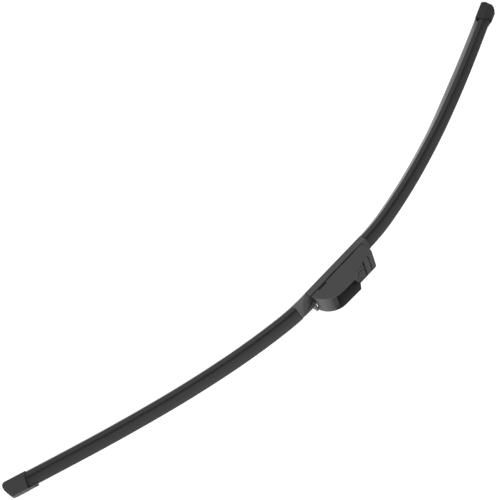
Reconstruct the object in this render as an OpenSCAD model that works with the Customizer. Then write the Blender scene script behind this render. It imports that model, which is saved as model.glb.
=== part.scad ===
// Flat (beam) wiper blade with a rocking connector for a hooked wiper arm.
// Millimetres. +X runs along the blade, +Z points away from the glass, and the
// spoiler's hollow face looks towards -Y. The pieces are drawn about the middle of
// the blade, with Z = 0 at the underside of the spoiler's claws, and home() then
// moves the origin to the arm's seat on the hook pocket's floor.

/* [Blade] */
// length of half the blade, along its curve
half_len = 301.4; // [270:0.1:330]
// curve station where the first bend ends
bend1_end = 62; // [55:1:70]
// curve station where the second bend ends
bend2_end = 110; // [95:1:125]
// curve station where the third bend ends
bend3_end = 170; // [150:1:185]
// curve station where the fourth bend ends
bend4_end = 235; // [210:1:240]
// radius of the first bend
bend1_r = 178; // [165:1:230]
// radius of the second bend
bend2_r = 550; // [480:1:700]
// radius of the third bend
bend3_r = 780; // [700:1:1000]
// radius of the fourth bend
bend4_r = 1400; // [1200:1:1800]
// radius of the last, almost straight stretch
bend5_r = 3600; // [3000:10:6000]

/* [Spring strips] */
// strip width
strip_w = 4.4; // [4:0.1:4.6]
// strip thickness
strip_t = 0.9; // [0.8:0.05:1]
// height of the strips above the claws' underside
strip_z = 0.9; // [0.8:0.05:1]

/* [Rubber] */
// half thickness of the web between the strips
web_half = 1.6; // [1.4:0.05:1.7]
// half width of the rubber's head and lower flange
head_half = 3.2; // [3:0.1:3.4]
// height of the top of the head
head_top = 3.1; // [2.8:0.05:3.2]
// chamfer along the head's top edges
head_chamfer = 0.6; // [0.3:0.05:0.8]
// thickness of the flange below the strips
flange_t = 1.1; // [0.9:0.05:1.3]
// half thickness of the neck
neck_half = 0.6; // [0.5:0.05:0.8]
// height of the neck
neck_h = 0.6; // [0.5:0.05:0.8]
// half width across the shoulders
shoulder_half = 2.6; // [2.2:0.1:3]
// height of the shoulders
shoulder_h = 0.7; // [0.5:0.05:0.9]
// height of the taper below the shoulders
taper_h = 1.1; // [0.8:0.05:1.4]
// half thickness of the lip at its root
lip_root_half = 0.6; // [0.5:0.05:0.7]
// half thickness of the lip at its edge
lip_edge_half = 0.35; // [0.3:0.05:0.4]
// depth of the lip's edge below Z = 0
lip_depth = 5.3; // [4.8:0.1:6]

/* [Spoiler] */
// half width of the spoiler's claws
claw_half = 7.1; // [6.9:0.05:7.2]
// height of the claws' outer wall
claw_h = 3.7; // [3.5:0.05:3.9]
// half opening between the claw tips
claw_gap_half = 3.9; // [3.8:0.05:4.2]
// height of the groove above the claws
groove_h = 0.6; // [0.5:0.05:0.8]
// depth of that groove
groove_d = 0.5; // [0.4:0.05:0.6]
// how far the face starts inside the claws' outer wall
face_inset = 0.3; // [0.2:0.05:0.4]
// height of the ridge
ridge_z = 8.7; // [8.4:0.1:9.4]
// front edge of the ridge
ridge_front = 0.6; // [0.3:0.1:0.9]
// thickness of the ridge
ridge_t = 1; // [0.8:0.1:1.2]
// hollow depth of the front face
front_sag = 1; // [0.8:0.1:1.1]
// hollow depth of the rear face
rear_sag = 0.7; // [0.5:0.1:0.9]
// half width of the tunnel inside the spoiler
tunnel_half = 2; // [1.6:0.1:2.2]
// height of that tunnel
tunnel_h = 1.2; // [0.8:0.1:1.3]

/* [End caps] */
// near cap's length, along its underside
cap_len = 19.8; // [18:0.1:23]
// far cap's length, along its underside
far_cap_len = 17.8; // [17:0.1:20]
// how far the mouth's top lies behind its underside
cap_slant = 3.8; // [2:0.1:5]
// the same on the far cap
far_cap_slant = 6; // [3:0.1:7]
// reach of the latch tab on the ridge, from the mouth's top
tab_len = 5; // [4:0.1:6]
// half width of that tab
tab_half = 1.7; // [1.4:0.1:2.4]
// cap wall thickness at the sides
cap_side = 0.65; // [0.6:0.05:0.9]
// cap wall thickness over the ridge
cap_over = 0.8; // [0.7:0.05:1.2]
// how far the cap reaches below Z = 0
cap_below = 0.8; // [0.7:0.05:1.2]
// thickness of the cap's end wall
cap_end_wall = 1.6; // [1.2:0.1:2]
// half width of the cap's flat top
cap_top_half = 2.5; // [2.2:0.1:2.8]
// height of the cap's upright side walls
cap_wall_h = 4.1; // [3.9:0.1:4.4]
// radius of the cap's rounded outer end, upper lobe
cap_nose_r = 6; // [4:0.1:6.5]
// radius of the lower lobe
cap_lobe_r = 2.6; // [2:0.1:3]
// height of the groove between the lobes
lobe_gap = 0.8; // [0.5:0.1:1]
// depth of that groove
lobe_gap_d = 0.5; // [0.3:0.05:0.7]
// latch window length
latch_len = 2.2; // [1.4:0.1:2.8]
// half width of the latch window
latch_half = 0.9; // [0.6:0.1:1]
// distance from the tab's end to the window
latch_back = 0.9; // [0.6:0.1:1.4]
// how far the strips stop short of the blade's end
strip_short = 2.2; // [2:0.1:3]
// overlap of the spoiler inside the cap, along the underside
spoiler_in_cap = 5; // [4.5:0.1:6]
// clearance behind the spoiler's end inside the cap
cap_play = 0.3; // [0.2:0.05:0.5]

/* [Strip ties] */
// length of a tie along the blade
tie_len = 8; // [6:0.1:8.5]
// tie sheet thickness
tie_t = 0.5; // [0.4:0.05:0.6]
// distance from the spoiler's end to a tie
tie_gap = 1; // [0.6:0.1:1.2]
// clearance of a tie's hump over the rubber's head
tie_clear = 0.1; // [0.05:0.01:0.2]

/* [Bracket] */
// half length of the bracket
bracket_half_len = 32.4; // [32.2:0.1:32.8]
// half width of the bracket
bracket_half = 7.3; // [7.2:0.05:7.35]
// how far the bracket's claws reach below Z = 0
bracket_below = 0.7; // [0.1:0.05:0.9]
// height of the bracket's top plate
bracket_top = 4.5; // [4.2:0.05:5]
// chamfer on the bracket's near end
bracket_chamfer = 1.6; // [1:0.1:2]
// thickness of an ear
ear_t = 1.2; // [1:0.05:1.4]
// inner half gap between the ears
ear_gap_half = 4.9; // [4.7:0.05:5]
// radius of the ears' rounded top
ear_r = 3.4; // [3.2:0.1:3.6]
// height of the pivot
pivot_z = 8.8; // [8.7:0.05:9.2]
// gap between the bracket's ends and what clips on beside them
end_gap = 0.5; // [0.3:0.05:0.7]

/* [Pivot] */
// rivet shank radius
rivet_r = 1.6; // [1.4:0.05:1.8]
// rivet head radius
rivet_head_r = 2.5; // [2.2:0.1:2.8]
// rivet head height
rivet_head_h = 0.7; // [0.5:0.05:0.9]
// bush outer radius
bush_r = 2.6; // [2.4:0.05:2.7]
// radial clearance of the rivet in the ears
rivet_clear = 0.02; // [0.01:0.01:0.05]
// radial clearance of the bush on the rivet
bush_clear = 0.04; // [0.02:0.01:0.08]
// radial clearance of the adapter's clip on the bush
clip_clear = 0.05; // [0.02:0.01:0.08]
// side clearance between moving pieces
side_clear = 0.2; // [0.15:0.01:0.3]
// how far the adapter rocks each way
rock_angle = 8; // [6:1:12]

/* [Adapter] */
// half width of the adapter
adapter_half = 9; // [8.8:0.1:9.4]
// side wall thickness
adapter_wall = 1.5; // [1.3:0.05:1.5]
// thickness of the far wall beside the pocket
rim_t = 0.7; // [0.6:0.05:1.2]
// height of the side walls' lower edge
wall_low = 6.8; // [6.2:0.05:7.2]
// far end of the side walls at their lower edge
far_low_x = -26; // [-26.4:0.1:-25.4]
// far end of the block at its top
far_top_x = -26; // [-26.4:0.1:-25]
// height of the block's top
block_top = 19.4; // [19.2:0.1:19.8]
// radius of the block's upper far corner
block_corner_r = 3.2; // [2:0.1:3.5]
// thickness of the block's deck
deck_t = 4.4; // [4:0.1:4.6]
// where the step up to the hump starts
step_start = -5.6; // [-5.8:0.1:-5.4]
// where the step ends
step_end = -1.6; // [-1.8:0.1:-1.2]
// centre of the rounded nose along X
nose_x = 14.8; // [14.6:0.1:15]
// height of that centre
nose_z = 6.2; // [6:0.1:6.5]
// radius of the rounded nose
nose_r = 17; // [16.8:0.1:17]
// how far the nose's top lies below the hump's top at the step
hump_fall = 0.5; // [0.2:0.1:0.8]
// wall thickness of the nose
nose_wall = 2.2; // [1.8:0.1:2.6]
// where the hook pocket ends against the nose
pocket_end = 19.6; // [19:0.1:20]
// floor of the hook pocket
pocket_floor = 14; // [13.8:0.1:14.4]
// thickness of that floor
floor_t = 1.3; // [1.2:0.05:1.5]
// where the pocket's slanted back edge meets the far wall
pocket_far_x = -3.1; // [-3.2:0.05:-2.8]
// where it meets the near wall
pocket_near_x = 3.6; // [2:0.1:4.4]
// thickness of the wall behind the pocket, at the far wall
step_wall = 0.7; // [0.5:0.05:1]
// where the arm seats on the pocket's floor, along X
seat_x = 5; // [4.6:0.1:6]
// where the floor stops and leaves the hook's tip hole
floor_end = 11.4; // [10:0.1:12]
// length of the notch in the side walls' lower edge
notch_len = 9; // [7:0.1:10]
// near end of the notch
notch_end = 24.6; // [24:0.1:25]
// height of the notch
notch_h = 1.4; // [0.8:0.1:1.8]
// outer radius of the clip that holds the bush
clip_r = 3.7; // [3.6:0.05:3.75]
// half width of the clip
clip_half = 4.4; // [4:0.1:4.6]
// width of the web between the clip and the floor, beyond the clip
clip_web = 0.5; // [0.3:0.1:0.8]
// half width of the clip's throat
throat_half = 2.1; // [1.9:0.05:2.2]
// position of the groove across the block's top
groove_x = -19.9; // [-20.4:0.1:-19.4]
// width and depth of that groove
top_groove = 1.3; // [1:0.1:1.5]

/* [Release tongue] */
// tongue thickness
tongue_t = 2.2; // [2:0.1:2.4]
// tongue half width
tongue_half = 6.8; // [6.4:0.1:7]
// free end of the tongue
tongue_tip = -13; // [-13.2:0.1:-12.8]
// free end of the slot around the tongue
slot_end = -14.5; // [-14.7:0.1:-14.3]
// hinge line of the tongue
tongue_root = -5; // [-5.2:0.1:-4.8]
// clearance around the tongue's root
root_clear = 0.3; // [0.25:0.01:0.35]
// pad radius
pad_r = 3.1; // [2.6:0.1:3.2]
// pad height above the tongue
pad_h = 0.35; // [0.2:0.05:0.5]
// gap between the pad and the ring around it
ring_gap = 0.35; // [0.3:0.05:0.4]
// width of the ring
ring_w = 0.45; // [0.3:0.05:0.5]
// depth of the ring
ring_d = 0.2; // [0.1:0.05:0.3]
// radius of the dimple in the pad
dimple_r = 0.5; // [0.3:0.05:0.8]

/* [Sleeve and fairing] */
// length of the far sleeve on the bracket
sleeve_len = 4.7; // [4.4:0.05:4.8]
// height of the sleeve's upright edges
sleeve_edge_h = 0.6; // [0.4:0.05:1]
// half width of the sleeve and the fairing
sleeve_half = 7.2; // [7.1:0.05:7.3]
// length of the near fairing, along the curve
fairing_len = 13.5; // [12:0.1:15]
// height where the fairing's slanted facet starts, above the claws' outer wall
facet_z = 0.6; // [0.5:0.05:0.7]
// rise of that facet along the blade
facet_rise = 12.5; // [11:0.5:14]
// rise of that facet across the blade
facet_lean = 12; // [8:1:16]
// lug length along the blade
lug_len = 1.2; // [0.8:0.1:1.4]
// lug height above the ridge
lug_h = 2.2; // [1.4:0.1:2.6]
// half thickness of the lug
lug_half = 0.9; // [0.6:0.05:1]
// half width of the fairing's collar under the nose
collar_half = 4.6; // [3.6:0.1:5]
// depth of the lug's root below the ridge
lug_root = 1; // [0.6:0.1:1.4]

/* [Hidden] */
$fn = 64;

// reach of the cuts between pieces of the curve, below, above and across
cut_low = 120;
cut_high = 600;
cut_half = 24;
// the blade is straight under the bracket
straight_half = bracket_half_len + end_gap;
// the curve as stations and radii; a radius of 0 is straight
stations = [0, straight_half, bend1_end, bend2_end, bend3_end, bend4_end, half_len];
radii = [0, bend1_r, bend2_r, bend3_r, bend4_r, bend5_r];
// clearance between pieces that are clipped together
snug = 0.05;
// how far cuts reach past what they cut
over = 1;
strip_in = web_half + snug;
strip_out = strip_in + strip_w;
strip_top = strip_z + strip_t;
flange_low = strip_z - snug - flange_t;
neck_low = flange_low - neck_h;
shoulder_low = neck_low - shoulder_h;
taper_low = shoulder_low - taper_h;
face_z = claw_h + groove_h;
face_half = claw_half - face_inset;
cap_start = half_len - cap_len;
far_cap_start = half_len - far_cap_len;
cap_top = ridge_z + cap_over;
cap_half = claw_half + cap_side;
strip_end = half_len - strip_short;
spoiler_end = cap_start + spoiler_in_cap;
far_spoiler_end = far_cap_start + spoiler_in_cap;
tie_half = strip_out + snug + tie_t;
tie_top = head_top + tie_clear + tie_t;
adapter_in = adapter_half - adapter_wall;
deck_low = block_top - deck_t;
floor_low = pocket_floor - floor_t;
tongue_low = block_top - tongue_t;
tongue_pivot_z = block_top - tongue_t / 2;
tongue_root_r = tongue_t / 2;
big = 100;
far_spoiler_start = straight_half;
fairing_start = straight_half;
near_spoiler_start = fairing_start + fairing_len;
lug_top = ridge_z + lug_h;
// heights of the openings that the rocking bracket needs in the nose and in the far end
near_open = side_clear + rocked(nose_x + nose_r, bracket_top);
far_open = side_clear + max(lug_top, rocked(-far_low_x, bracket_top));

// [x, z, tangent angle] after running a length along a piece of the curve from a pose
function run(p, len, r) = r == 0
    ? [p[0] + len * cos(p[2]), p[1] - len * sin(p[2]), p[2]]
    : [p[0] + r * (sin(p[2] + len / r * 180 / PI) - sin(p[2])),
       p[1] - r * (cos(p[2]) - cos(p[2] + len / r * 180 / PI)),
       p[2] + len / r * 180 / PI];
function start_pose(i) = i == 0 ? [0, 0, 0]
    : run(start_pose(i - 1), stations[i] - stations[i - 1], radii[i - 1]);
function piece_of(s, i = 0) = i == 5 || s < stations[i + 1] ? i : piece_of(s, i + 1);
function pose(s) = let(i = piece_of(s)) run(start_pose(i), s - stations[i], radii[i]);

// height that a point of the blade reaches when its end rocks up to the adapter
function rocked(x, z) = pivot_z + x * sin(rock_angle) + (z - pivot_z) * cos(rock_angle);

// centre of the arc that hollows a face between two corners
function hollow_r(a, b, sag) = (pow(norm(b - a) / 2, 2) + sag * sag) / (2 * sag);
function hollow_centre(a, b, sag, side) =
    (a + b) / 2 + side * (hollow_r(a, b, sag) - sag) * [-(b - a)[1], (b - a)[0]] / norm(b - a);

// the centre that a piece of the curve bends about, below the blade
function bend_centre(i) = let(p = start_pose(i))
    [p[0] - radii[i] * sin(p[2]), p[1] - radii[i] * cos(p[2])];
// a point of the blade's middle plane at a station and a height above Z = 0
function above(s, h) = let(p = pose(s)) [p[0] + h * sin(p[2]), p[1] + h * cos(p[2])];

// moves the origin to the arm's seat on the hook pocket's floor
module home() translate([-seat_x, 0, -pocket_floor]) children();

module at_pose(p) translate([p[0], 0, p[1]]) rotate([0, p[2], 0]) children();

// puts children, drawn with X along the blade, at a station
module along(s) at_pose(pose(s)) children();

// moves in steps that each keep their small digits
module shift(v) {
    whole = [for (c = v) round(c)];
    part = [for (c = v - whole) round(c * 1000) / 1000];
    translate(whole) translate(part) translate(v - whole - part) children();
}

// the stretch of a section, drawn as [y, z], between two stations of one piece of the curve
module stretch(i, a, b) {
    c = bend_centre(i);
    if (radii[i] == 0)
        translate([a, 0, 0]) rotate([90, 0, 90]) linear_extrude(b - a) children();
    else
        intersection() {
            shift([c[0], 0, c[1]]) rotate([90, 0, 0]) mirror([1, 0, 0]) rotate([0, 0, 90])
                rotate_extrude(angle = ceil(pose(b)[2] + 1), $fn = 720)
                    translate([radii[i], 0]) rotate(-90) children();
            translate([0, cut_half, 0]) rotate([90, 0, 0]) linear_extrude(2 * cut_half)
                polygon([above(a, -cut_low), above(b, -cut_low), above(b, cut_high), above(a, cut_high)]);
        }
}

// sweeps a section along the curve between two stations
module sweep(a, b) {
    for (i = [0:5]) {
        from = max(a, stations[i]);
        to = min(b, stations[i + 1]);
        if (to > from) stretch(i, from, to) children();
    }
}

module both_ways() {
    children();
    mirror([1, 0, 0]) children();
}

module rubber_section() {
    polygon([[-web_half, strip_z - snug], [-head_half, strip_z - snug], [-head_half, flange_low],
        [-neck_half, flange_low], [-neck_half, neck_low], [-shoulder_half, neck_low],
        [-shoulder_half, shoulder_low], [-lip_root_half, taper_low], [-lip_edge_half, -lip_depth],
        [lip_edge_half, -lip_depth], [lip_root_half, taper_low], [shoulder_half, shoulder_low],
        [shoulder_half, neck_low], [neck_half, neck_low], [neck_half, flange_low],
        [head_half, flange_low], [head_half, strip_z - snug], [web_half, strip_z - snug],
        [web_half, strip_top + snug], [head_half, strip_top + snug],
        [head_half, head_top - head_chamfer], [head_half - head_chamfer, head_top],
        [head_chamfer - head_half, head_top], [-head_half, head_top - head_chamfer],
        [-head_half, strip_top + snug], [-web_half, strip_top + snug]]);
}

// the space inside everything that clasps the strips and the rubber's head
module core_space(tip_half) {
    translate([-strip_out - snug, strip_z - snug]) square([2 * (strip_out + snug), strip_t + 2 * snug]);
    translate([-head_half - snug, strip_z]) square([2 * (head_half + snug), head_top + snug - strip_z]);
    translate([-tip_half, -big]) square([2 * tip_half, big + strip_z]);
}

// outside of the spoiler: claws, groove, two hollow faces and the ridge
module spoiler_outline() {
    ridge_rear = ridge_front + ridge_t;
    translate([-claw_half, 0]) square([2 * claw_half, claw_h]);
    translate([groove_d - claw_half, 0]) square([2 * (claw_half - groove_d), face_z]);
    difference() {
        polygon([[-face_half, face_z], [face_half, face_z], [ridge_rear, ridge_z], [ridge_front, ridge_z]]);
        translate(hollow_centre([-face_half, face_z], [ridge_front, ridge_z], front_sag, 1))
            circle(hollow_r([-face_half, face_z], [ridge_front, ridge_z], front_sag));
        translate(hollow_centre([face_half, face_z], [ridge_rear, ridge_z], rear_sag, -1))
            circle(hollow_r([face_half, face_z], [ridge_rear, ridge_z], rear_sag));
    }
}

module spoiler_section() {
    difference() {
        spoiler_outline();
        core_space(claw_gap_half);
        translate([-tunnel_half, claw_h]) square([2 * tunnel_half, tunnel_h]);
    }
}

module wiper_rubber() {
    color([0.62, 0.62, 0.63]) both_ways() sweep(0, strip_end) rubber_section();
}

module strip_front() {
    color([0.2, 0.2, 0.21]) both_ways() sweep(0, strip_end)
        translate([-strip_out, strip_z]) square([strip_w, strip_t]);
}

module strip_rear() {
    color([0.2, 0.2, 0.21]) both_ways() sweep(0, strip_end)
        translate([strip_in, strip_z]) square([strip_w, strip_t]);
}

module spoiler_near() {
    color([0.1, 0.1, 0.1]) sweep(near_spoiler_start, spoiler_end) spoiler_section();
}

module spoiler_far() {
    color([0.1, 0.1, 0.1]) mirror([1, 0, 0]) sweep(far_spoiler_start, far_spoiler_end) spoiler_section();
}

// outside of an end cap: upright side walls, slanted cheeks, flat top
module cap_outline() {
    polygon([[-cap_half, -cap_below], [cap_half, -cap_below], [cap_half, cap_wall_h],
        [ridge_front + cap_top_half, cap_top], [ridge_front - cap_top_half + ridge_t, cap_top],
        [-cap_half, cap_wall_h]]);
}

// drawn from the cap's mouth with X towards the blade's end
module end_cap(len, slant) {
    inner = len - cap_end_wall;
    tall = cap_top + cap_below;
    nest_half = tie_half + snug;
    nest_low = strip_z - tie_t - 2 * snug;
    difference() {
        rotate([90, 0, 90]) linear_extrude(len) cap_outline();
        // room for the spoiler's end, then for the ties and the strips
        translate([-big, 0, 0]) rotate([90, 0, 90]) linear_extrude(big + spoiler_in_cap + cap_play) {
            translate([-claw_half - snug, -snug]) square([2 * (claw_half + snug), face_z + snug]);
            polygon([[-face_half - snug, face_z - snug], [face_half + snug, face_z - snug],
                [ridge_front + ridge_t + snug, ridge_z + snug], [ridge_front - snug, ridge_z + snug]]);
        }
        translate([-big, 0, 0]) rotate([90, 0, 90]) linear_extrude(big + inner) {
            translate([-nest_half, nest_low]) square([2 * nest_half, tie_top + snug - nest_low]);
            translate([-claw_gap_half, -big]) square([2 * claw_gap_half, big + strip_z]);
        }
        // slanted mouth
        translate([0, 0, -cap_below]) rotate([0, atan(slant / tall), 0])
            translate([-big, -big / 2, -big / 2]) cube([big, big, big]);
        // rounded outer end in two lobes
        difference() {
            translate([len - cap_nose_r, -big / 2, cap_top - cap_nose_r]) cube([big, big, big]);
            translate([len - cap_nose_r, big / 2, cap_top - cap_nose_r]) rotate([90, 0, 0])
                cylinder(h = big, r = cap_nose_r);
        }
        difference() {
            translate([len - cap_lobe_r, -big / 2, -big]) cube([big, big, big + cap_lobe_r - cap_below]);
            translate([len - cap_lobe_r, big / 2, cap_lobe_r - cap_below]) rotate([90, 0, 0])
                cylinder(h = big, r = cap_lobe_r);
        }
        translate([len - lobe_gap_d, -big / 2, 2 * cap_lobe_r - cap_below - lobe_gap]) cube([big, big, lobe_gap]);
    }
    // latch tab with its window, on the ridge in front of the mouth
    translate([slant - tab_len, ridge_front + ridge_t / 2, ridge_z + snug]) difference() {
        translate([0, -tab_half, 0]) cube([tab_len + over, 2 * tab_half, cap_over - snug]);
        translate([latch_back, -latch_half, -over]) cube([latch_len, 2 * latch_half, cap_over + 2 * over]);
    }
}

module end_cap_near() {
    color([0.12, 0.12, 0.12]) along(cap_start) end_cap(cap_len, cap_slant);
}

module end_cap_far() {
    color([0.12, 0.12, 0.12]) mirror([1, 0, 0]) along(far_cap_start) end_cap(far_cap_len, far_cap_slant);
}

// sheet tie folded over the strips' edges, arched over the rubber's head
module strip_tie() {
    hump_half = head_half + tie_clear;
    rotate([90, 0, 90]) linear_extrude(tie_len) difference() {
        union() {
            translate([-tie_half, strip_z - snug - tie_t])
                square([2 * tie_half, strip_t + 2 * (snug + tie_t)]);
            translate([-hump_half - tie_t, strip_z]) square([2 * (hump_half + tie_t), tie_top - strip_z]);
        }
        translate([-strip_out - snug, strip_z - snug]) square([2 * (strip_out + snug), strip_t + 2 * snug]);
        translate([-hump_half, strip_z]) square([2 * hump_half, tie_top - tie_t - strip_z]);
        translate([-claw_gap_half, -big]) square([2 * claw_gap_half, big + strip_z]);
    }
}

module strip_tie_near() {
    color([0.55, 0.56, 0.58]) along(spoiler_end + tie_gap) strip_tie();
}

module strip_tie_far() {
    color([0.55, 0.56, 0.58]) mirror([1, 0, 0]) along(far_spoiler_end + tie_gap) strip_tie();
}

module bracket() {
    color([0.24, 0.24, 0.25]) difference() {
        union() {
            translate([-bracket_half_len, 0, 0]) rotate([90, 0, 90]) linear_extrude(2 * bracket_half_len)
                difference() {
                    translate([-bracket_half, -bracket_below]) square([2 * bracket_half, bracket_top + bracket_below]);
                    core_space(claw_gap_half);
                }
            for (side = [-1, 1]) translate([0, side * (ear_gap_half + ear_t / 2), 0]) {
                translate([-ear_r, -ear_t / 2, bracket_top - snug]) cube([2 * ear_r, ear_t, pivot_z - bracket_top + snug]);
                translate([0, ear_t / 2, pivot_z]) rotate([90, 0, 0]) cylinder(h = ear_t, r = ear_r);
            }
        }
        translate([0, big / 2, pivot_z]) rotate([90, 0, 0]) cylinder(h = big, r = rivet_r);
        // chamfer on the near end's lower corner
        translate([bracket_half_len - bracket_chamfer, 0, -bracket_below]) rotate([0, 45, 0])
            translate([0, -big / 2, -big]) cube([big, big, big]);
    }
}

// the lug or collar that a trim carries on its ridge
module lug(x, half) translate([x, ridge_front + ridge_t / 2 - half, ridge_z - lug_root])
    cube([lug_len, 2 * half, lug_h + lug_root]);

// stands on the bracket's far end, up against the spoiler
module sleeve_far() {
    edge_z = bracket_top + sleeve_edge_h;
    color([0.13, 0.13, 0.13]) translate([-bracket_half_len, 0, 0]) {
        rotate([90, 0, 90]) linear_extrude(sleeve_len)
            polygon([[-sleeve_half, bracket_top], [sleeve_half, bracket_top], [sleeve_half, edge_z],
                [ridge_front + ridge_t, ridge_z], [ridge_front, ridge_z], [-sleeve_half, edge_z]]);
        lug(sleeve_len - 2 * lug_len, lug_half);
    }
}

// the ramp between the connector and the near spoiler
module fairing_near() {
    color([0.16, 0.16, 0.16]) {
        difference() {
            sweep(fairing_start, near_spoiler_start) difference() {
                union() {
                    translate([-sleeve_half, 0]) square([2 * sleeve_half, face_z]);
                    polygon([[-sleeve_half, face_z], [sleeve_half, face_z], [ridge_front + ridge_t, ridge_z],
                        [ridge_front, ridge_z]]);
                }
                core_space(claw_gap_half);
            }
            // slanted cut that leaves the ramp's front facet
            along(fairing_start) translate([0, -sleeve_half, claw_h + facet_z]) rotate([0, -facet_rise, 0])
                rotate([facet_lean, 0, 0]) translate([-big / 2, -big / 2, 0])
                    cube([big, big / 2 + sleeve_half + ridge_front - lug_half, big]);
        }
        along(fairing_start) lug(0, collar_half);
        // end wall behind the collar
        along(fairing_start) translate([0, ridge_front + ridge_t / 2, claw_h])
            cube([lug_len, sleeve_half - ridge_front - ridge_t / 2, lug_top - lug_root - claw_h]);
    }
}

module pivot_rivet() {
    span = ear_gap_half + ear_t;
    color([0.6, 0.6, 0.62]) {
        translate([0, span, pivot_z]) rotate([90, 0, 0]) cylinder(h = 2 * span, r = rivet_r - rivet_clear);
        for (side = [-1, 1]) translate([0, side * (span + rivet_head_h / 2) + rivet_head_h / 2, pivot_z])
            rotate([90, 0, 0]) cylinder(h = rivet_head_h, r = rivet_head_r);
    }
}

module pivot_bush() {
    color([0.75, 0.75, 0.73]) translate([0, ear_gap_half - side_clear / 2, pivot_z]) rotate([90, 0, 0])
        difference() {
            cylinder(h = 2 * ear_gap_half - side_clear, r = bush_r);
            translate([0, 0, -over]) cylinder(h = 2 * (ear_gap_half + over), r = rivet_r + bush_clear);
        }
}

// the adapter's outline in side view, drawn as [x, z]
module side_outline() {
    polygon([[far_low_x, wall_low], [far_top_x, block_top - block_corner_r],
        [far_top_x + block_corner_r, block_top],
        [step_start, block_top], [step_end, nose_z + nose_r + hump_fall], [nose_x, nose_z + nose_r],
        [nose_x, wall_low]]);
    intersection() {
        translate([nose_x, nose_z]) circle(nose_r, $fn = 128);
        translate([nose_x, wall_low]) square([nose_r, nose_r]);
    }
    translate([far_top_x + block_corner_r, block_top - block_corner_r]) intersection() {
        circle(block_corner_r);
        translate([-block_corner_r, 0]) square([block_corner_r, block_corner_r]);
    }
}

module across(half) translate([0, half, 0]) rotate([90, 0, 0]) linear_extrude(2 * half) children();

module adapter() {
    nose_in = nose_r - nose_wall;
    step_in = pocket_far_x - step_wall;
    rim_in = adapter_half - rim_t;
    color([0.17, 0.17, 0.17]) {
        difference() {
            across(adapter_half) side_outline();
            // hollow between the side walls, under the deck and the nose
            across(adapter_in) {
                polygon([[far_top_x + adapter_wall, -over], [far_top_x + adapter_wall, deck_low],
                    [step_in, deck_low], [step_in, floor_low], [nose_x, floor_low], [nose_x, -over]]);
                translate([far_low_x - over, -over])
                    square([far_top_x + adapter_wall - far_low_x + 2 * over, far_open + over]);
                translate([nose_x, nose_z]) intersection() {
                    circle(nose_in, $fn = 128);
                    square([nose_in, nose_in]);
                }
                translate([nose_x - over, -over]) square([nose_r + 2 * over, near_open + over]);
                translate([nose_x, nose_z]) square([pocket_end - nose_x, nose_r + over]);
            }
            // hook pocket, open at the top, with the hole for the hook's tip
            translate([0, 0, pocket_floor]) linear_extrude(big)
                polygon([[pocket_far_x, rim_in], [pocket_near_x, -adapter_in], [pocket_end, -adapter_in],
                    [pocket_end, rim_in]]);
            translate([floor_end, -adapter_in, floor_low - over]) cube([pocket_end - floor_end, 2 * adapter_in, big]);
            // slot around the tongue
            translate([slot_end, -adapter_in, deck_low - over])
                cube([tongue_root - slot_end, 2 * adapter_in, deck_t + 2 * over]);
            translate([tongue_root, tongue_half + root_clear, tongue_pivot_z]) rotate([90, 0, 0])
                cylinder(h = 2 * (tongue_half + root_clear), r = tongue_root_r + root_clear);
            translate([slot_end, adapter_in - big, block_top - top_groove]) cube([tongue_tip - slot_end, big, big]);
            translate([groove_x - top_groove / 2, rim_in - big, block_top - top_groove])
                cube([top_groove, big, big]);
            // notch in the side walls' lower edge
            translate([notch_end - notch_len, -big / 2, 0]) cube([notch_len, big, wall_low + notch_h]);
        }
        // clip that snaps on the bush, hung from the pocket's floor
        difference() {
            union() {
                translate([0, clip_half, pivot_z]) rotate([90, 0, 0]) cylinder(h = 2 * clip_half, r = clip_r);
                translate([-clip_r, -clip_half, pivot_z]) cube([2 * clip_r, 2 * clip_half, floor_low + floor_t / 2 - pivot_z]);
            }
            translate([0, clip_half + over, pivot_z]) rotate([90, 0, 0])
                cylinder(h = 2 * (clip_half + over), r = bush_r + clip_clear);
            translate([-throat_half, -clip_half - over, pivot_z - big])
                cube([2 * throat_half, 2 * (clip_half + over), big]);
        }
        translate([-clip_r - clip_web, -adapter_in - over, floor_low])
            cube([clip_r + clip_web + step_end, 2 * (adapter_in + over), floor_t]);
    }
}

module release_tongue() {
    pad_x = (tongue_tip + tongue_root) / 2;
    color([0.18, 0.18, 0.18]) {
        difference() {
            translate([tongue_tip, -tongue_half, tongue_low])
                cube([tongue_root - tongue_tip, 2 * tongue_half, tongue_t]);
            translate([pad_x, 0, block_top - ring_d]) difference() {
                cylinder(h = over, r = pad_r + ring_gap + ring_w);
                translate([0, 0, -over]) cylinder(h = 3 * over, r = pad_r + ring_gap);
            }
        }
        difference() {
            translate([pad_x, 0, block_top - ring_d / 2]) cylinder(h = pad_h + ring_d / 2, r = pad_r);
            translate([pad_x, 0, block_top]) cylinder(h = over, r = dimple_r);
        }
        translate([tongue_root, tongue_half, tongue_pivot_z]) rotate([90, 0, 0])
            cylinder(h = 2 * tongue_half, r = tongue_root_r);
    }
}

home() wiper_rubber();
home() strip_front();
home() strip_rear();
home() spoiler_near();
home() spoiler_far();
home() end_cap_near();
home() end_cap_far();
home() strip_tie_near();
home() strip_tie_far();
home() bracket();
home() sleeve_far();
home() fairing_near();
home() pivot_rivet();
home() pivot_bush();
home() adapter();
home() release_tongue();
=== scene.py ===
"""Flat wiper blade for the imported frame: rubber, spring strips, spoilers, end caps and connector."""
import math

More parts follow.
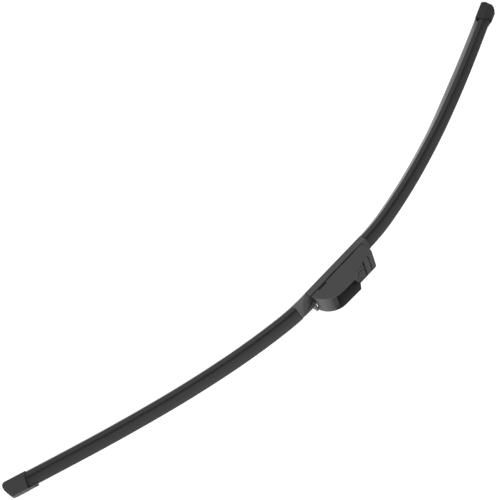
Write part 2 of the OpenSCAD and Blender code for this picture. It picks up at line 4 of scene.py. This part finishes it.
import bmesh
import bpy
import numpy as np
from mathutils import Matrix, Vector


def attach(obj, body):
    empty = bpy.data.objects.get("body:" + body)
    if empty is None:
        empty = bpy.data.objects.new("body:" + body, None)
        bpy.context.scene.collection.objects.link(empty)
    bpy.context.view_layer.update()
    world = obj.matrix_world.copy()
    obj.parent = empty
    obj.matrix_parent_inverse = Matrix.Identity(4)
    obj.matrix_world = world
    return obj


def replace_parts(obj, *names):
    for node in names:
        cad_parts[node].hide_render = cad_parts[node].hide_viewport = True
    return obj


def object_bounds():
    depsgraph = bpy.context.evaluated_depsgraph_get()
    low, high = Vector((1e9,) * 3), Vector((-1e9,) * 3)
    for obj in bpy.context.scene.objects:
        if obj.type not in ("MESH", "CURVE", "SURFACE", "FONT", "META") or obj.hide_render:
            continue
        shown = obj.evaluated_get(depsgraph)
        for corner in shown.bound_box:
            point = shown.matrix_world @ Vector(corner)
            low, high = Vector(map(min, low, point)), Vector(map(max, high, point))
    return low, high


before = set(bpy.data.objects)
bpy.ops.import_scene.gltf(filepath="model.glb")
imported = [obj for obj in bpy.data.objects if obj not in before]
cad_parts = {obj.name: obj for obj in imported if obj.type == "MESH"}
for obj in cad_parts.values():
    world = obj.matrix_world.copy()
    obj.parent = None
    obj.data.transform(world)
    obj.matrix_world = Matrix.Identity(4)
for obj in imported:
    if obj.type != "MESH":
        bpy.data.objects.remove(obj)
cad_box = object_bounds()

# WIPER RUBBER. One extrusion of black rubber: a head above the strips, a flange, a web,
# shoulders and a lip with a grey coat. It runs along the blade's free curve in one
# length, and towards the far end the free lip leans to the front.

middle_x, middle_z = -5, -14  # the blade's middle, seen from the pocket's floor
straight_half = 32.9  # the blade is straight this far from its middle
bend_length = np.array([29.1, 48, 60, 65, 66.4])
bend_radius = np.array([178, 550, 780, 1400, 3600])
rubber_far, rubber_near = -298.4, 299.2  # the rubber's two ends along the blade


def blade_line(s):
    """Middle line at signed lengths s in mm: straight, then one bend after the other.
    Each bend adds r (sin(a + l / r) - sin a) to x and takes r (cos a - cos(a + l / r))
    from z, with l the length run in it and a the slope before it."""
    begin = straight_half + np.cumsum(bend_length) - bend_length
    turn = bend_length / bend_radius
    slope = np.cumsum(turn) - turn
    run = np.clip(np.abs(s)[:, None] - begin, 0, bend_length) / bend_radius
    x = np.minimum(np.abs(s), straight_half) + (bend_radius * (np.sin(slope + run) - np.sin(slope))).sum(1)
    z = -(bend_radius * (np.cos(slope) - np.cos(slope + run))).sum(1)
    return np.sign(s) * x + middle_x, z + middle_z, np.sign(s) * run.sum(1)


def stations(a, b, step=2.0):
    """Even lengths from a to b, about a step apart."""
    return np.linspace(a, b, max(2, int(abs(b - a) / step) + 1))


def mirrored(half):
    """The points of an outline's rear half, then their mirror images across the middle
    plane in the opposite order."""
    return half + [(-y, z) for y, z in half[::-1]]


def eased(corners, radius, steps=4, most=0.45):
    """Closed outline with eased corners: a corner c becomes the curve
    a (1 - t)^2 + 2 c t (1 - t) + b t^2 between points a and b on its two sides, each a
    radius away from c or, on a short side, that share of it at most."""
    c = np.asarray(corners, float)
    back, on = np.roll(c, 1, -2) - c, np.roll(c, -1, -2) - c
    a = c + back * np.minimum(radius / np.linalg.norm(back, axis=-1, keepdims=True), most)
    b = c + on * np.minimum(radius / np.linalg.norm(on, axis=-1, keepdims=True), most)
    t = np.linspace(0, 1, steps)[:, None]
    a, b, c = a[..., None, :], b[..., None, :], c[..., None, :]
    curve = (1 - t) ** 2 * a + 2 * t * (1 - t) * c + t ** 2 * b
    return curve.reshape(*curve.shape[:-3], -1, 2)


def extruded(name, points, faces, heights, paint, sharp_angle=32):
    """Mesh piece from points in mm, with outward normals and smooth shading up to an
    angle, riding on the blade. Heights across the section are kept for its finish."""
    mesh = bpy.data.meshes.new(name)
    mesh.from_pydata((points.reshape(-1, 3) / 1000).tolist(), [], faces)
    mesh.validate()
    kept = mesh.attributes.new("height", "FLOAT", "POINT")
    kept.data.foreach_set("value", heights.ravel().astype(np.float32))
    work = bmesh.new()
    work.from_mesh(mesh)
    bmesh.ops.remove_doubles(work, verts=work.verts, dist=1e-7)
    bmesh.ops.recalc_face_normals(work, faces=work.faces)
    work.to_mesh(mesh)
    work.free()
    mesh.materials.append(paint)
    mesh.shade_smooth()
    mesh.set_sharp_from_angle(angle=math.radians(sharp_angle))
    piece = bpy.data.objects.new(name, mesh)
    bpy.context.collection.objects.link(piece)
    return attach(piece, "blade")


def carried(name, outline, s, paint):
    """An outline [y, z], the same or one for each station, carried along the blade:
    point = line + z (sin a, cos a) across the line, y kept. The ends are closed."""
    x, z, a = (part[:, None] for part in blade_line(s))
    outline = np.broadcast_to(outline, (len(s),) + outline.shape[-2:])
    y, h = outline[..., 0], outline[..., 1]
    points = np.stack([x + h * np.sin(a), y, z + h * np.cos(a)], -1)
    rows, count = y.shape
    i, j = np.meshgrid(np.arange(rows - 1), np.arange(count), indexing="ij")
    k = (j + 1) % count
    quads = np.stack([i * count + j, i * count + k, (i + 1) * count + k, (i + 1) * count + j], -1)
    ends = [list(range(count))[::-1], list(range((rows - 1) * count, rows * count))]
    return extruded(name, points, quads.reshape(-1, 4).tolist() + ends, h, paint)


class Wire:
    """A shader socket that can be used in sums; each sign adds a Math node."""

    def __init__(self, tree, out):
        self.tree, self.out = tree, out

    def sum(self, sign, other, turned=False):
        """Wire of this and another wire or number under a sign, or the two turned round."""
        node = self.tree.nodes.new("ShaderNodeMath")
        node.operation = sign
        for place, value in zip(node.inputs, (other, self) if turned else (self, other)):
            if isinstance(value, Wire):
                self.tree.links.new(value.out, place)
            else:
                place.default_value = value
        return Wire(self.tree, node.outputs[0])

    def __add__(self, other):
        return self.sum("ADD", other)

    def __radd__(self, other):
        return self.sum("ADD", other, True)

    def __sub__(self, other):
        return self.sum("SUBTRACT", other)

    def __rsub__(self, other):
        return self.sum("SUBTRACT", other, True)

    def __mul__(self, other):
        return self.sum("MULTIPLY", other)

    def __rmul__(self, other):
        return self.sum("MULTIPLY", other, True)

    def __truediv__(self, other):
        return self.sum("DIVIDE", other)

    def __pow__(self, other):
        return self.sum("POWER", other)


class Finish:
    """A material or world being made. node() adds any node, and set() feeds the shader."""

    def __init__(self, data):
        data.use_nodes = True
        self.data, self.tree = data, data.node_tree
        self.shader = next(n for n in self.tree.nodes if n.type in ("BSDF_PRINCIPLED", "BACKGROUND"))

    def feed(self, sockets, key, value):
        """A value or a wire into the socket of that name."""
        if isinstance(value, Wire):
            self.tree.links.new(value.out, sockets[key])
        else:
            sockets[key].default_value = value

    def node(self, kind, settings=None, sockets=None, out=0):
        """A node of a kind, with its settings, then the values or wires of its sockets."""
        node = self.tree.nodes.new("ShaderNode" + kind)
        for key, value in (settings or {}).items():
            if key == "stops":
                while len(node.color_ramp.elements) < len(value):
                    node.color_ramp.elements.new(0.5)
                for element, (place, tone) in zip(node.color_ramp.elements, value):
                    element.position, element.color = place, (tone, tone, tone, 1)
            else:
                setattr(node, key, value)
        for key, value in (sockets or {}).items():
            self.feed(node.inputs, key, value)
        return Wire(self.tree, node.outputs[out])

    def set(self, **sockets):
        """Values or wires for the surface shader, with _ for a space in a name."""
        for key, value in sockets.items():
            self.feed(self.shader.inputs, key.replace("_", " "), value)

    def colour(self, red, green, blue):
        """Base colour from three wires."""
        self.set(Base_Color=self.node("CombineColor", {}, {"Red": red, "Green": green, "Blue": blue}))

    def place(self):
        """The object's own coordinates in metres."""
        return self.node("TexCoord", out=3)

    def height(self):
        """Height across the section in mm, as it is kept on an extruded piece."""
        return self.node("Attribute", {"attribute_name": "height"}, out=2)

    def noise(self, scale, detail, roughness=0.5):
        """Noise on the object's own coordinates, with so many cells per metre."""
        return self.node("TexNoise", {}, {
            "Vector": self.place(), "Scale": scale, "Detail": detail, "Roughness": roughness})

    def ranged(self, value, start, end, low=0.0, high=1.0, kind="LINEAR"):
        """Low where a value is at start, high where it is at end, and held outside."""
        return self.node("MapRange", {"interpolation_type": kind}, {
            "Value": value, "From Min": start, "From Max": end, "To Min": low, "To Max": high})

    def split(self, vector):
        """X, Y and Z of a vector."""
        parts = self.node("SeparateXYZ", {}, {"Vector": vector}).out.node.outputs
        return [Wire(self.tree, part) for part in parts]


def moulded(name, tones, rough, grain, relief, patch=60.0, tint=(1, 1, 1), specular=0.3):
    """Moulded rubber or plastic: its tone drifts between two over patches, and a fine
    grain, so many cells per metre, lifts the surface by a relief in mm. Without tones
    the section sets the colour itself."""
    finish = Finish(bpy.data.materials.new(name))
    cells = finish.noise(grain, 2.0, 0.55)
    if tones:
        low, high = tones
        tone = low + (high - low) * (0.75 * finish.noise(patch, 3.0, 0.6) + 0.25 * cells)
        finish.colour(*(tone * share for share in tint))
    bump = finish.node("Bump", {}, {"Height": cells, "Strength": 1.0, "Distance": relief / 1000})
    finish.set(Roughness=rough - 0.06 + 0.12 * cells, Normal=bump, Specular_IOR_Level=specular)
    return finish


strip_low, strip_top, play = 0.9, 1.8, 0.05  # the strips' heights, and the play around them
groove_low, groove_top = strip_low - play, strip_top + play
head_half, core_half, shoulder_half, web_half, lip_half = 3.2, 1.6, 2.6, 0.6, 0.35
head_top, head_side, flange_low = 3.1, 2.5, -0.25
shoulder_top, shoulder_low, lip_root, lip_tip = -0.85, -1.55, -2.65, -5.3
half_section = [
    (lip_half, lip_tip), (web_half, lip_root), (shoulder_half, shoulder_low), (shoulder_half, shoulder_top),
    (web_half, shoulder_top), (web_half, flange_low), (head_half, flange_low), (head_half, groove_low),
    (core_half, groove_low), (core_half, groove_top), (head_half, groove_top), (head_half, head_side),
    (shoulder_half, head_top)]
lean_start, lean_run, most_lean = -140, 70, 2.4
bend_top, bend_depth = -2.2, 3.1  # the lip bends from this height down
coat_full, coat_grey = -2.9, 0.26
bare_grey = 0.024

rubber = moulded("lip_rubber", None, 0.62, 2600, 0.012)
coat = rubber.ranged(rubber.height(), bend_top, coat_full, 0.0, coat_grey)
rubber.colour(bare_grey + coat, bare_grey + coat, bare_grey + 0.001 + coat)
s = stations(rubber_far, rubber_near)
section = np.repeat(eased(mirrored(half_section), 0.12, 3)[None], len(s), 0)
part_way = np.clip((lean_start - s) / lean_run, 0, 1)
lean = most_lean * part_way ** 2 * (3 - 2 * part_way)
section[..., 0] -= lean[:, None] * np.clip((bend_top - section[..., 1]) / bend_depth, 0, 1)
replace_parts(carried("wiper_rubber_body", section, s, rubber.data), "wiper_rubber")

# SPRING STRIPS. Two flat strips of painted spring steel in the rubber's grooves,
# rolled to the free curve. Their edges are rounded by tumbling.

strip_inner, strip_outer = core_half + play, 6.05


def bar(y0, y1, z0, z1):
    """Rectangular outline."""
    return [(y0, z0), (y1, z0), (y1, z1), (y0, z1)]


spring = moulded("spring_steel", (0.030, 0.045), 0.38, 1500, 0.004, specular=0.6)
for side, node in ((-1, "strip_front"), (1, "strip_rear")):
    edge = eased(bar(side * strip_inner, side * strip_outer, strip_low, strip_top), 0.2)
    s = stations(rubber_far, rubber_near)
    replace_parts(carried(node + "_steel", edge, s, spring.data), node)

# SPOILERS. Two extrusions of soft black rubber that clip over the strips, one on each
# side of the connector: claws, a groove above them, a deep hollow front face, a ridge
# and a shallower rear face. The far one is trimmed lower towards its end.

near_spoiler, far_spoiler = (46.4, 286.6), (-32.9, -288.6)  # from and to, along the blade
face_low, face_half = 4.3, 6.8  # where the hollow faces begin
ridge_front, ridge_rear = 0.6, 1.6
front_sag, rear_sag = (0.45, 0.9), (0.35, 0.455)  # inwards and down, at mid face
channel_low, slot_half = 3.7, strip_outer + play  # the groove under the faces, and the strips' slot
claw_half, claw_tip = 7.1, 3.9
near_height, swell, swell_at, swell_run = 8.54, 0.6, 46, 130  # ridge, highest at the connector
far_height, far_drop, far_run = 8.62, 1.64, 300  # ridge, falling by a drop over a run
# painted light in the colour: gains for the paler ridge and claws, and the groove's share under painted
# shade
face_grey, ridge_light_gain, claw_light_gain, groove_shade_share = 0.027, 0.017, 0.022, 0.4


def spoiler_outline(ridge):
    """Closed [y, z] outline for each ridge height. The two faces hang 4 sag t (1 - t)
    inside the straight lines from the groove to the ridge. The groove, the claws round
    the strips and the room for the rubber's head follow."""
    t = np.linspace(0, 1, 9)
    hang = 4 * t * (1 - t)
    climb = ridge[:, None] - face_low
    front_y = -face_half + (face_half + ridge_front) * t + front_sag[0] * hang
    front_z = face_low + climb * t - front_sag[1] * hang
    rear_y = face_half - (face_half - ridge_rear) * t[::-1] - rear_sag[0] * hang
    rear_z = face_low + climb * t[::-1] - rear_sag[1] * hang
    clip = np.array(mirrored([
        (slot_half, face_low), (slot_half, channel_low), (claw_half, channel_low), (claw_half, 0),
        (claw_tip, 0), (claw_tip, groove_low), (slot_half, groove_low), (slot_half, groove_top),
        (head_half + play, groove_top), (head_half + play, head_top + play)]))
    front = np.stack([np.broadcast_to(front_y, front_z.shape), front_z], -1)
    rear = np.stack([np.broadcast_to(rear_y, rear_z.shape), rear_z], -1)
    clip = np.broadcast_to(clip, (len(ridge),) + clip.shape)
    return eased(np.concatenate([front, rear, clip], 1), 0.22, 3)


spoiler = moulded("spoiler", None, 0.6, 2200, 0.010, specular=0.15)
height, along_x = spoiler.height(), spoiler.split(spoiler.place())[0]
# Painted light in the spoiler's colour: the ridge and the claws are painted paler, and the groove under the
# faces is darkened as painted shade.
painted_ridge_light = spoiler.ranged(height, 4.6, 8.6, 0.0, ridge_light_gain, "SMOOTHSTEP")
painted_groove_shade = spoiler.ranged(height, 4.95, 4.4, 1.0, groove_shade_share)
painted_claw_light = spoiler.ranged(height, face_low, 3.8, 0.0, claw_light_gain)
# Painted shade: both spoilers are darker towards their ends, where less light falls.
painted_end_shade = 1.15 - 3.5 * along_x * along_x  # 1.15 in the middle, 0.84 at 0.3 m
face = face_grey + 0.006 * spoiler.noise(60.0, 3.0) + painted_ridge_light
grey = (face * painted_groove_shade + painted_claw_light) * painted_end_shade
spoiler.colour(grey, grey, grey * 1.02)

near_s, far_s = stations(*near_spoiler), stations(*far_spoiler)
near_ridge = near_height + swell * np.exp(-((near_s - swell_at) / swell_run) ** 2)
far_ridge = far_height - far_drop * np.abs(far_s) / far_run
for node, s, ridge in (("spoiler_near", near_s, near_ridge), ("spoiler_far", far_s, far_ridge)):
    outline = spoiler_outline(ridge)
    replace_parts(carried(node + "_rubber", outline, s, spoiler.data), node)

# END CAPS. Moulded caps of hard black plastic pushed over the spoilers' ends, with a
# slanted mouth, a latch tab on the ridge and an outer end in two lobes. The near tab is
# long, over a nub on the ridge. The far cap is lower, as its spoiler is.

near_cap, far_cap = 281.6, -283.6  # where the caps' mouths begin, along the blade
cap_below, cap_wall, cap_top = 0.8, 4.1, 9.5  # skirt, side wall and top, from the strips' line
mouth_slant = 6
cap_half, top_front, top_rear = 7.75, -0.9, 3.1  # half width, and the top's two edges


def joined(mesh, flattened=False):
    """The mesh with the corners of its loose triangles merged and, where it is to be
    flattened, the triangles of each flat face made one."""
    work = bmesh.new()
    work.from_mesh(mesh)
    bmesh.ops.remove_doubles(work, verts=work.verts, dist=2e-6)
    if flattened:
        bmesh.ops.dissolve_limit(work, angle_limit=math.radians(0.6), verts=work.verts, edges=work.edges)
    work.to_mesh(mesh)
    work.free()
    return mesh


def softened(node, width, paint, body="blade", how="moulded", mesh=None, move=None, weigh=None):
    """A CAD node's shape with its triangles joined and its edges rounded to a width in
    mm. mesh is a changed copy of the node's own, move(points) shifts its points, and
    weigh(a, b) gives each edge's share of the width from its two ends."""
    name = f"{node}_{how}"
    mesh = joined(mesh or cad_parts[node].data.copy(), flattened=True)
    mesh.name = name
    at = np.empty(len(mesh.vertices) * 3)
    mesh.vertices.foreach_get("co", at)
    at = at.reshape(-1, 3) * 1000
    if move:
        at = move(at)
        mesh.vertices.foreach_set("co", (at / 1000).ravel())
    ends = np.empty(len(mesh.edges) * 2, int)
    mesh.edges.foreach_get("vertices", ends)
    a, b = at[ends.reshape(-1, 2)].transpose(1, 0, 2)
    share = weigh(a, b) if weigh else 1.0
    mesh.set_sharp_from_angle(angle=math.radians(28))
    sharp = np.empty(len(a), bool)
    mesh.attributes["sharp_edge"].data.foreach_get("value", sharp)
    weight = mesh.attributes.new("bevel_weight_edge", "FLOAT", "EDGE")
    weight.data.foreach_set("value", np.where(sharp, share, 0).astype(np.float32))
    mesh.materials.clear()
    mesh.materials.append(paint)
    mesh.shade_smooth()
    piece = bpy.data.objects.new(name, mesh)
    bpy.context.collection.objects.link(piece)
    rounding = piece.modifiers.new("rounded edges", "BEVEL")
    rounding.limit_method, rounding.width, rounding.segments = "WEIGHT", width / 1000, 3
    rounding.use_clamp_overlap = True
    flat = piece.modifiers.new("flat faces", "WEIGHTED_NORMAL")
    flat.keep_sharp, flat.weight = True, 100
    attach(piece, body)
    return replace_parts(piece, node)


def in_line(at, s):
    """Lengths along and heights across the blade of points, measured from a length s."""
    x, z, a = blade_line(np.array([s]))
    dx, dz = at[:, 0] - x, at[:, 2] - z
    return dx * np.cos(a) - dz * np.sin(a), dx * np.sin(a) + dz * np.cos(a)


def out_of_line(along, y, up, s):
    """Points for those lengths and heights: the turn of in_line the other way."""
    x, z, a = blade_line(np.array([s]))
    return np.stack([x + along * np.cos(a) + up * np.sin(a), y, z - along * np.sin(a) + up * np.cos(a)], 1)


def longer_tab(at, by=3):
    """The near cap's points, with the latch tab's tip and window moved to the middle."""
    along, up = in_line(at, near_cap)
    tip = (along < 2.2) & (up > 8.65)
    return out_of_line(along - by * tip, at[:, 1], up, near_cap)


def far_shape(at):
    """The far cap's points. The tab is drawn in to a share of its length. The upper
    round keeps its top and shrinks by new radius / old radius about its centre, with
    its points back on the slanted flanks. The outer end and the mouth move along by an
    amount for each height, the part over the strips' line is lowered and the skirt
    under it made deeper."""
    along, up = in_line(at, far_cap)
    y = at[:, 1]
    tab = (along > -5.1) & (up > 8.2)
    mouth_line = -(up + cap_below) * mouth_slant / (cap_top + cap_below)
    mouth = (np.abs(along - mouth_line) < 0.15) | tab
    tab_root, tab_share = -5.8, 0.45
    along = np.where(tab, tab_root + (along - tab_root) * tab_share, along)

    old_x, old_z, old_r = -11.8, 3.5, 6  # the round's centre and radius
    new_x, new_z, new_r = -14.2, 6.1, 3.4
    on_round = np.abs(np.hypot(along - old_x, up - old_z) - old_r) < 0.1
    on_round &= (along < old_x + 0.1) & (up > old_z - 0.1)
    along = np.where(on_round, new_x + (along - old_x) * new_r / old_r, along)
    up = np.where(on_round, new_z + (up - old_z) * new_r / old_r, up)
    rear_flank = np.interp(up, [cap_wall, cap_top], [cap_half, top_rear])
    front_flank = np.interp(up, [cap_wall, cap_top], [-cap_half, top_front])
    flank = np.where(y > (top_front + top_rear) / 2, rear_flank, front_flank)
    y = np.where(on_round & (up > cap_wall), flank, y)

    end_shift = np.interp(up, [-0.8, 1.8, 3.2, 4.3, 6.1, 7.5], [-0.6, 1.6, 2.8, 2.6, 0.7, 0.5])
    along = along + np.where(along < -14, end_shift, 0)
    mouth_shift = np.interp(up, [-cap_below, cap_wall, 8.7], [3.3, 6.8, 1.3])
    along = along + np.where(mouth, mouth_shift, 0)
    lowered, deepened = 0.86, 4.5
    return out_of_line(along, y, np.where(up > 0, up * lowered, up * deepened), far_cap)


near_plastic = moulded("cap_plastic", (0.019, 0.025), 0.5, 1400, 0.012)
softened("end_cap_near", 0.5, near_plastic.data, move=longer_tab)
# Painted shade: the far cap takes a darker copy of the same plastic, as its end gets less light.
far_cap_painted_shade = moulded("far_cap_plastic_painted_shade", (0.014, 0.019), 0.6, 1400, 0.012, specular=0.2)
softened("end_cap_far", 0.25, far_cap_painted_shade.data, move=far_shape)
nub = eased(bar(0.4, 1.8, 8.4, 9.15), 0.15)
carried("latch_nub_near", nub, stations(278.5, 280.3, 1), spoiler.data)

# STRIP TIES, RIVET AND BUSH. Folded zinc-plated ties and a steel rivet with a pale
# nylon bush, all hidden in the real blade.

plated = moulded("tie_steel", (0.42, 0.52), 0.32, 900, 0.004)
plated.set(Metallic=1.0)
nylon = moulded("bush_plastic", (0.5, 0.58), 0.5, 1200, 0.01, tint=(1, 0.99, 0.94))
for node, finish in (("strip_tie_near", plated), ("strip_tie_far", plated), ("pivot_rivet", plated),
                     ("pivot_bush", nylon)):
    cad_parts[node].data.materials.clear()
    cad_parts[node].data.materials.append(finish.data)

# BRACKET. Pressed from black painted steel, folded round the strips under the
# connector, with two ears for the rivet.

painted = moulded("bracket_paint", (0.035, 0.07), 0.45, 900, 0.05, patch=220)
softened("bracket", 0.45, painted.data, how="pressed")

# SLEEVE AND FAIRING. Two trims of the connector's plastic on the bracket's ends: a
# short one against the far spoiler, and a ramp with a slanted facet on the near side,
# whose lower end is painted paler: painted light standing in for a lit facet.

trim = moulded("trim_plastic", (0.048, 0.062), 0.45, 1500, 0.012)
softened("sleeve_far", 0.3, trim.data)

# Painted light: past this slanted line the ramp's colour is paler, standing in for a lit lower facet.
lit_facet_x, lit_facet_z = 0.0279, -0.0145  # in metres: a slanted line through here, past which it is paler
slant_x, slant_z = 0.0135, 0.0090
main_grey, painted_facet_light_grey = 0.045, 0.075
ramp = moulded("ramp_plastic", None, 0.45, 1500, 0.012)
x, y, z = ramp.split(ramp.place())
past_lit_facet_line = (x - lit_facet_x) / slant_x - (z - lit_facet_z) / slant_z
grey = ramp.ranged(past_lit_facet_line, -0.12, 0.12, main_grey, painted_facet_light_grey, "SMOOTHSTEP")
grey = grey + 0.012 * ramp.noise(400.0, 2.0)
ramp.colour(grey, grey, grey)
softened("fairing_near", 0.3, ramp.data)

# ADAPTER. The connector's housing, moulded in black plastic: a lower block on the far
# side, a step, and a round nose around the hook pocket. The side walls turn into the
# nose over a wide soft edge. Between the walls the colour holds painted shade over the
# pocket's nose end and the ledge, and a painted highlight towards the nose's end.

housing_half = 9
nose_start, nose_low, nose_line = 9.5, -6.5, 18  # the nose's edges are past these: x, z and x + z
pocket_front, pocket_rear = -7.4, 8.2
pocket_start = [(-1.3, pocket_front), (-8.0, pocket_rear)]  # its slanted edge at the step
recesses = [
    # a shallow ledge at the pocket's nose end
    ([(14, -7.5), (19.4, -7.5), (19.4, 8.3), (14, 8.3)], 6.5),
    # the rim between the tongue and the pocket, down to the block's top
    ([(-10.7, pocket_front), *pocket_start, (-10.7, pocket_rear)], 5.42),
    # the pocket's start, further towards the tongue
    ([(-3.6, pocket_front), *pocket_start, (-9.6, pocket_rear)], 0.4),
    # the slit behind the tongue, wider
    ([(-18.3, 6.5), (-10.4, 6.5), (-10.4, pocket_rear), (-18.3, pocket_rear)], 3.4)]


def hollowed(mesh, footprint, low, high=16):
    """Mesh with an upright prism taken out of it: footprint [x, y] in mm, from a low
    height to one over the top."""
    corners = np.array([(x, y, z) for z in (low, high) for x, y in footprint]) / 1000
    count = len(footprint)
    sides = [(i, (i + 1) % count, (i + 1) % count + count, i + count) for i in range(count)]
    floor_and_top = [list(range(count))[::-1], list(range(count, 2 * count))]
    block = bpy.data.meshes.new("recess")
    block.from_pydata(corners.tolist(), [], floor_and_top + sides)
    pair = [bpy.data.objects.new(data.name, data) for data in (joined(mesh), block)]
    for piece in pair:
        bpy.context.collection.objects.link(piece)
    cut = pair[0].modifiers.new("recess", "BOOLEAN")
    cut.operation, cut.solver, cut.object = "DIFFERENCE", "EXACT", pair[1]
    graph = bpy.context.evaluated_depsgraph_get()
    result = bpy.data.meshes.new_from_object(pair[0].evaluated_get(graph))
    for piece in pair:
        bpy.data.objects.remove(piece)
    return result


def nose_edges(a, b):
    """The whole width for the side walls' edges along the nose, 0.35 of it for their
    other edges and 0.15 inside."""
    x, y, z = ((a + b) / 2).T
    side = (np.abs(np.abs(y) - housing_half) < 0.05) & (np.abs(a[:, 1] - b[:, 1]) < 0.05)
    nose = side & (x > nose_start) & (z > nose_low) & (x + z > nose_line)
    return np.where(nose, 1.0, np.where(side, 0.35, 0.15))


shell = moulded("connector_plastic", None, 0.6, 1800, 0.008, specular=0.15)
x, y, z = shell.split(shell.place())
along_nose = shell.ranged(x, 0.0085, 0.0255)
between_walls = shell.ranged(y * y, 0.0089 ** 2, 0.0080 ** 2)
# Painted light: between the walls the colour is darkened over the pocket's nose end and the ledge as
# painted shade, and made paler towards the nose's end as a painted highlight.
nose_shade_and_highlight = shell.node("ValToRGB", {"stops": [(0.0, 0.62), (0.15, 0.42), (0.66, 0.40), (0.98, 0.95)]},
                   {"Fac": along_nose})
grey = (0.046 + 0.010 * shell.noise(60.0, 3.0)) * (1 + between_walls * (1.6 * nose_shade_and_highlight - 1))
shell.colour(grey, grey, grey)
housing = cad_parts["adapter"].data.copy()
for footprint, low in recesses:
    housing = hollowed(housing, footprint, low)
softened("adapter", 1.5, shell.data, body="adapter", mesh=housing, weigh=nose_edges)

# RELEASE TONGUE. Moulded with the housing, with a round pad and a dimple, pressed to
# let go of the arm.

softened("release_tongue", 0.2, shell.data, body="tongue")

# STAGE. A pale floor under the blade's ends, soft white light from all round with a
# stronger side towards the near end, and the photo's camera.

floor_half = 9  # metres
lowest = cad_box[0].z
corners = [(x * floor_half, y * floor_half, lowest) for x, y in ((-1, -1), (1, -1), (1, 1), (-1, 1))]
mesh = bpy.data.meshes.new("floor")
mesh.from_pydata(corners, [], [(0, 1, 2, 3)])
floor = bpy.data.objects.new("floor", mesh)
bpy.context.collection.objects.link(floor)
matte = Finish(bpy.data.materials.new("pale_floor"))
matte.set(Base_Color=(0.2, 0.2, 0.2, 1), Roughness=0.9, Specular_IOR_Level=0.0)
matte.set(Emission_Color=(1, 1, 1, 1), Emission_Strength=0.95)
mesh.materials.append(matte.data)

lamps = ((0.97, -0.2, 0.05, 0.9), (0.66, 0.74, 0.1, 3.0))  # the way to each, and its strength
lamp_sharpness = 14
seen_strength = 1.1
studio = bpy.data.worlds.new("studio")
bpy.context.scene.world = studio
sky = Finish(studio)
toward = sky.split(sky.node("TexCoord"))
glow = 0.82 + 0.2 * toward[0] - 0.12 * toward[1] + 0.17 * toward[2]  # more from near, front and above
for x, y, z, strength in lamps:
    facing = x * toward[0] + y * toward[1] + z * toward[2]
    glow = glow + strength * (0.5 + 0.5 * facing) ** lamp_sharpness
seen = sky.node("LightPath")
sky.set(Color=(1, 1, 1, 1), Strength=seen * seen_strength + (1 - seen) * glow)

turn, rise, roll = math.radians(18.82), math.radians(35.44), math.radians(123.75)
distance, looked_at = 844.0, np.array([20.45, 0, -86.52])
focal_pixels, photo_pixels, sensor = 1039.0, 500, 36
back = np.array([math.sin(turn) * math.cos(rise), -math.cos(turn) * math.cos(rise), math.sin(rise)])
level = np.cross(-back, (0, 0, 1))
level /= np.linalg.norm(level)
upright = np.cross(level, -back)
right = math.cos(roll) * level + math.sin(roll) * upright
up = math.cos(roll) * upright - math.sin(roll) * level
spot = (back * distance + looked_at) / 1000
camera = bpy.data.objects.new("camera", bpy.data.cameras.new("camera"))
bpy.context.collection.objects.link(camera)
camera.data.lens, camera.data.sensor_width = focal_pixels / photo_pixels * sensor, sensor
camera.data.clip_start, camera.data.clip_end = 0.01, 50
camera.matrix_world = Matrix([*np.stack([right, up, back, spot], 1).tolist(), (0, 0, 0, 1)])
bpy.context.scene.camera = camera
bpy.context.scene.view_settings.view_transform = "Standard"
